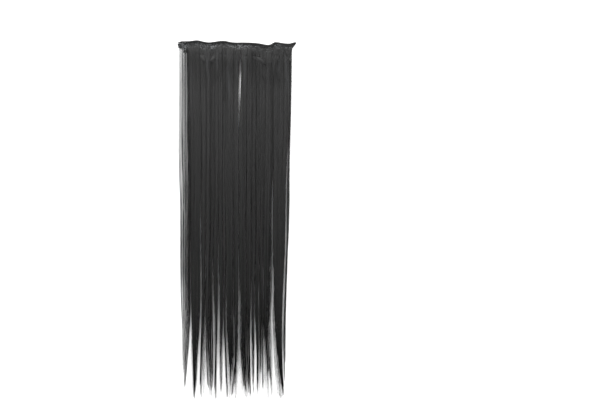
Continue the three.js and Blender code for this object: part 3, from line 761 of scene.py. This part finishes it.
def strands_of(lock):
    """The strands of one lock, as columns.

    share is a strand's place across the lock, clump its clump's middle, and pull how far it goes there. drift
    and bend are its clump's. keeps is how far it keeps to the lock, depth its height from 0 at the underside
    to 1 on top, reach its end as a share of the lock's, wave its own swing, and fine its thickness. Few
    strands are kept where the lock is bare, but all strays are."""
    rng = np.random.default_rng([SEED, lock])
    count = int(lock_widths[lock] * STRANDS_A_MILLIMETRE * LOCKS["fill"][lock])
    share = LOCK_MARGIN + (1 - 2 * LOCK_MARGIN) * (np.arange(count) + rng.uniform(0, 1, count)) / count
    bare_left = np.clip(share / max(LOCKS["bare_left"][lock], LEAST_BARE), 0, 1)
    bare_right = np.clip((1 - share) / max(LOCKS["bare_right"][lock], LEAST_BARE), 0, 1)
    sparse = LOCKS["sparse"][lock]
    keep = sparse + (1 - sparse) * (bare_left * bare_right) ** BARE_POWER
    stray = LOCKS["stray"][lock]
    strays = rng.uniform(0, 1, count) < stray
    kept = (rng.uniform(0, 1, count) < keep) | strays
    share, strays = share[kept], strays[kept]
    count = len(share)
    clumps = max(LEAST_CLUMPS, round(float(lock_widths[lock]) / CLUMP_WIDTH))
    middles = (np.arange(clumps) + 0.5 + rng.uniform(-CLUMP_JITTER, CLUMP_JITTER, clumps)) / clumps
    lengths = 1 - CLUMP_SHORTER * rng.uniform(0, 1, clumps) ** CLUMP_SHORTER_POWER
    lengths[rng.integers(clumps)] = 1
    drifts, bends = rng.normal(0, CLUMP_DRIFT, clumps), rng.uniform(0, 1, clumps)
    blurred = share[:, None] + rng.normal(0, CLUMP_BLUR, (count, 1))
    nearest = np.abs(blurred - middles).argmin(axis=1)
    deep = rng.uniform(0, 1, count) > TOP_SHARE
    reach = np.clip(lengths[nearest] * (1 - rng.gamma(*END_SPREAD, count)), *REACH_RANGE)
    past_lock = (1 - STRAY_SHORTER * rng.uniform(0, 1, count) ** 2) / LOCKS["reach"][lock]
    return {
        "lock": np.full(count, lock),
        "share": share,
        "clump": middles[nearest],
        "pull": (1 - LOCKS["bare_left"][lock]) * rng.uniform(*PULL_RANGE, count),
        "drift": drifts[nearest],
        "bend": bends[nearest],
        "keeps": np.where(strays, rng.uniform(*STRAY_KEEPS, count), 1 - stray * rng.uniform(0, 1, count)),
        "depth": np.where(deep, rng.uniform(*LOWER_DEPTHS, count), rng.uniform(*TOP_DEPTHS, count)),
        "reach": np.where(strays, past_lock, reach),
        "wave": rng.gamma(*WAVE_SPREAD, count),
        "fine": np.where(strays | (LOCKS["bare_left"][lock] > MOSTLY_BARE), FINE, 1.0),
    }


strand_pieces = []
for name, (first, stop) in GROUPS.items():
    parts = [strands_of(lock) for lock in range(first, stop)]
    hair = {key: np.concatenate([part[key] for part in parts]) for key in parts[0]}
    strand_pieces.append(strand_piece(name, hair, np.random.default_rng([SEED, LOCK_COUNT, first])))

# %% [markdown]
# ## Thread and fibre ends on the band
#
# The band is sewn with a zigzag of black thread, and the short ends of the folded fibres stick out between
# the stitches. They are what makes the band look grey and speckled from above, their pale grey a painted
# glint of the light they catch. Each stitch leg is a small closed tube that leaves the band, bows over it and
# goes back in, and an end is the same tube, loose.

# %% Zigzag stitches and loose ends: lengths are millimetres
BOW_POINTS = 5
BOW_SIDES = 4
BOW_CLEARANCE = 0.5
# below the band a bow lies on the hair, at this share of its thickness, which it reaches between two places
BOW_HEIGHT = 0.62
BOW_RISES = (12, 40)
STITCH_PITCH = 2.2
STITCH_ROWS = (5.0, 9.2)
STITCH_SPAN = 2.8
STITCH_MARGIN = 1
STITCH_JITTER = 0.25
STITCH_LIFT = 0.3
THREAD_RADIUS = 0.17
THREAD_TONES = (0, 0.5)
END_RADIUS = 0.2
END_LENGTHS = (0.6, 2.2)
END_LIFTS = (0.1, 0.6)
# the cut ends' tones reach pale grey: painted glints of light caught on the black fibre
END_GLINT_TONES = (0.3, 1)
# an end reaches this much less along the hair than across it
END_FLATTENING = 0.6
# patches of ends: from and to across as shares, top and bottom in millimetres, and how many
ENDS = columns("from to top bottom count", [
    (0.012, 0.1, 4.5, 15, 60), (0.02, 0.055, 15, 34, 34), (0.19, 0.33, 4.5, 13, 80),
    (0.42, 0.61, 4.5, 13, 120), (0.82, 0.87, 4.5, 14, 24), (0.03, 0.96, 4, 12, 150),
])


def bows(name, start, finish, lift, radius, tone):
    """Closed tubes between two points (x, distance down), bowed up by lift * sin(pi t) over the band."""
    t = np.linspace(0, 1, BOW_POINTS)[None, :, None]
    flat = start[:, None, :] * (1 - t) + finish[:, None, :] * t
    x, down = flat[..., 0], flat[..., 1]
    thick = np.maximum(BAND_THICKNESS, HAIR_THICKNESS * BOW_HEIGHT * smooth(down, *BOW_RISES)) + BOW_CLEARANCE
    z = underside(x, down) + thick + lift[:, None] * np.sin(np.pi * t[..., 0])
    turn = 2 * np.pi * np.arange(BOW_SIDES) / BOW_SIDES
    step = (finish - start) / np.linalg.norm(finish - start, axis=1)[:, None]
    aside, along = step[:, None, 1:], step[:, None, :1]
    around = [-aside * np.cos(turn), along * np.cos(turn), 0 * along + np.sin(turn)]
    centre = np.stack([x, hair_y(x, down), z], axis=-1)
    points = centre[:, :, None, :] + radius * np.stack(around, axis=-1)
    faces = tube_faces(len(start), BOW_POINTS, BOW_SIDES)
    return new_piece(name, points, *faces, tone=np.repeat(tone, BOW_POINTS * BOW_SIDES))


low_x, high_x = across(BAND_LOW[0]) + STITCH_MARGIN, across(BAND_LOW[1]) - STITCH_MARGIN
corner = np.arange(low_x, high_x, STITCH_PITCH / 2)
rng = np.random.default_rng(SEED + 1)
to_and_fro = STITCH_SPAN / 2 * (-1) ** np.arange(len(corner))
legs = []
for row in STITCH_ROWS:
    zigzag = row + to_and_fro + rng.normal(0, STITCH_JITTER, len(corner))
    legs.append(np.stack([corner[:-1], zigzag[:-1], corner[1:], zigzag[1:]], axis=-1))
legs = np.concatenate(legs)
lifts, tones = np.full(len(legs), STITCH_LIFT), rng.uniform(*THREAD_TONES, len(legs))
band_thread = bows("band_thread", legs[:, :2], legs[:, 2:], lifts, THREAD_RADIUS, tones)
starts = np.concatenate([
    np.stack([
        across(rng.uniform(low_at, high_at, int(count))), rng.uniform(top, bottom, int(count)),
    ], axis=-1)
    for low_at, high_at, top, bottom, count in zip(*ENDS.values())
])
lean = rng.uniform(0, 2 * np.pi, len(starts))
length = rng.uniform(*END_LENGTHS, len(starts))[:, None]
finishes = starts + length * np.stack([np.cos(lean), END_FLATTENING * np.sin(lean)], axis=-1)
lifts, tones = rng.uniform(*END_LIFTS, len(starts)), rng.uniform(*END_GLINT_TONES, len(starts))
fibre_ends = bows("fibre_ends", starts, finishes, lifts, END_RADIUS, tones)

# %% [markdown]
# ## Materials
#
# Black modacrylic fibre is nearly black plastic, IOR about 1.5, with a fine, slightly rough skin: dull
# satin, never glassy. Its greys come from light caught along the strands, so the base is dark and each strand
# differs a little. Colours are given as sRGB hex, the way a colour picker shows them, and one function turns
# them linear for Blender.


# %% Node helper, colours, and the two kinds of material
def linear(hex_colour):
    """sRGB hex to linear RGBA: below 0.04045 divide by 12.92, above it ((c + 0.055) / 1.055) to the 2.4."""
    raw = np.array([int(hex_colour[i : i + 2], 16) for i in (1, 3, 5)]) / 255
    return (*np.where(raw <= 0.04045, raw / 12.92, ((raw + 0.055) / 1.055) ** 2.4), 1.0)


def add(tree, kind, values=None, links=None, **settings):
    """Adds one node: its settings, its sockets' values, and the sockets that feed it."""
    node = tree.nodes.new(kind)
    for key, value in settings.items():
        setattr(node, key, value)
    for key, value in (values or {}).items():
        node.inputs[key].default_value = value
    for key, source in (links or {}).items():
        tree.links.new(source, node.inputs[key])
    return node


def material(name, values):
    """A new material, its tree and its Principled shader, whose constant sockets are set."""
    made = bpy.data.materials.new(name)
    made.use_nodes = True
    shader = made.node_tree.nodes["Principled BSDF"]
    for key, value in values.items():
        shader.inputs[key].default_value = value
    print("material", name)
    return made, made.node_tree, shader


def ramp(tree, factor, stops):
    """A colour ramp through (place, hex) stops."""
    node = add(tree, "ShaderNodeValToRGB", links={"Fac": factor})
    for index, (place, colour) in enumerate(stops):
        element = node.color_ramp.elements[index] if index < 2 else node.color_ramp.elements.new(place)
        element.position, element.color = place, linear(colour)
    return node.outputs["Color"]


def toned(name, stops, values):
    """A material whose colour follows the tone that each point carries."""
    made, tree, shader = material(name, values)
    tone = add(tree, "ShaderNodeAttribute", attribute_name="tone")
    tree.links.new(ramp(tree, tone.outputs["Fac"], stops), shader.inputs["Base Color"])
    return made


def grained(name, scale, detail, stops, strength, values):
    """A material whose colour and bump follow one noise, with `scale` grains a metre along each axis."""
    made, tree, shader = material(name, values)
    place = add(tree, "ShaderNodeTexCoord")
    stretch = add(tree, "ShaderNodeMapping", {"Scale": scale}, {"Vector": place.outputs["Object"]})
    noise = add(
        tree, "ShaderNodeTexNoise", {"Scale": 1.0, "Detail": detail}, {"Vector": stretch.outputs["Vector"]})
    grain = noise.outputs["Fac"]
    tree.links.new(ramp(tree, grain, stops), shader.inputs["Base Color"])
    bump = add(tree, "ShaderNodeBump", {"Strength": strength, "Distance": 0.0004}, {"Height": grain})
    tree.links.new(bump.outputs["Normal"], shader.inputs["Normal"])
    return made


print("mid grey #808080 is", round(float(linear("#808080")[0]), 3), "in linear light")

# %% Modacrylic strands: satin black fibre, each strand its own grey
strand_fibre = toned(
    "modacrylic_strand", [(0, "#050505"), (0.5, "#191919"), (1, "#38393a")],
    {"Roughness": 0.45, "Specular IOR Level": 0.3, "IOR": 1.5})
for piece in strand_pieces:
    piece.data.materials.append(strand_fibre)

# %% Sewing thread and cut fibre ends: polyester thread, near black, and ends in pale grey tones that are painted glints of the light they catch
band_thread.data.materials.append(
    toned("spun_polyester_thread", [(0, "#0a0a0b"), (1, "#3c3e40")], {"Roughness": 0.6}))
fibre_ends.data.materials.append(
    toned("cut_ends_painted_glints", [(0, "#303132"), (1, "#b4b7ba")], {"Roughness": 0.6}))

# %% Packed fibre of the lock bodies: darker as painted shade of the hair's deep layers, with streaks 1 mm wide and 80 mm long
lock_bodies.data.materials.append(grained(
    "modacrylic_packed_painted_shade", (900, 12, 900), 3.0, [(0.3, "#080808"), (0.7, "#1a1a1a")], 0.6,
    {"Roughness": 0.55, "Specular IOR Level": 0.3, "IOR": 1.5}))

# %% White paint of the sweep
sweep.data.materials.append(
    material("matt_white_paint", {"Base Color": linear("#f6f6f6"), "Roughness": 0.9})[0])

# %% CAD nodes: stitched band, rolled edge and enamelled clips
for node, name, dark, light, rough in (
    ("weft_track", "gathered_fibre", "#17181a", "#3a3b3d", 0.6),
    ("edge_roll", "rolled_fibre", "#070707", "#161616", 0.5),
):
    bpy.data.objects[node].material_slots[0].material = grained(
        name, (1200, 200, 400), 4.0, [(0.3, dark), (0.75, light)], 0.7, {"Roughness": rough})
enamel, tree, shader = material("enamelled_spring_steel", {"Roughness": 0.35})
place = add(tree, "ShaderNodeTexCoord")
noise = add(tree, "ShaderNodeTexNoise", {"Scale": 900.0, "Detail": 2.0}, {"Vector": place.outputs["Object"]})
colour = ramp(tree, noise.outputs["Fac"], [(0.3, "#0c0c0d"), (0.7, "#1b1b1d")])
tree.links.new(colour, shader.inputs["Base Color"])
for index in range(1, CLIP_COUNT + 1):
    bpy.data.objects[f"clip_{index}"].material_slots[0].material = enamel

# %% [markdown]
# ## Tell the frame what each piece is
#
# Nothing on a weft moves on a joint, so every piece rides on the one body. The bodies and strands stand for
# the hair solid, which stays in the physics model but isn't drawn.

# %% Rides and replaced solids
for piece in (band_thread, fibre_ends):
    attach(piece, "root")
for piece in (lock_bodies, *strand_pieces):
    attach(piece, "root")
    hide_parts("hair_curtain")
print(1 + len(strand_pieces), "pieces stand for the hair solid, and 2 lie on the band")
